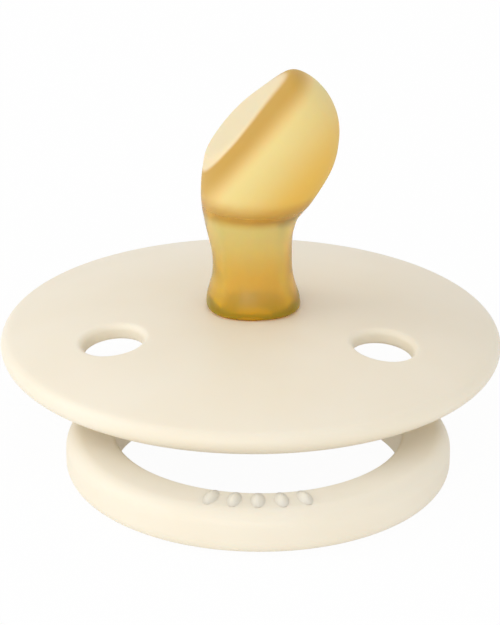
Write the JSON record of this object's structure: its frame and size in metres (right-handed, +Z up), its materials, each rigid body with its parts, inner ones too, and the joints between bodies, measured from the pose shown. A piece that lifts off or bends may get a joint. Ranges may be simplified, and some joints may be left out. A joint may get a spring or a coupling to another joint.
{
  "type": "pacifier",
  "caption": "Baby pacifier: a hollow orthodontic latex teat on a vented, domed round shield, with a ring handle that swings from a hub underneath.",
  "frame": {"origin": "on the shield's axis, at the middle of the cover's flat face that the pacifier stands on", "axes": "+Z up through the shield, -Y towards the ring's reach, X along the ring's hinge axis; the teat's slanted flat face looks towards -X and up"},
  "size_m": [0.043, 0.0496, 0.031],
  "materials": {
    "cream_plastic": "fine matte moulded polypropylene, cream",
    "amber_latex": "translucent amber natural rubber latex, frosted bulb and glossier neck"
  },
  "bodies": {
    "pacifier_body": {"shield": "cream_plastic", "teat": "amber_latex", "plug": "cream_plastic", "cover": "cream_plastic"},
    "ring_handle": {"ring": "cream_plastic"}
  },
  "joints": [
    {"name": "ring_swing", "type": "hinge", "parent": "pacifier_body", "child": "ring_handle", "pos_m": [0, 0, 0.0025], "axis": [1, 0, 0], "range_deg": [-4, 180]}
  ]
}
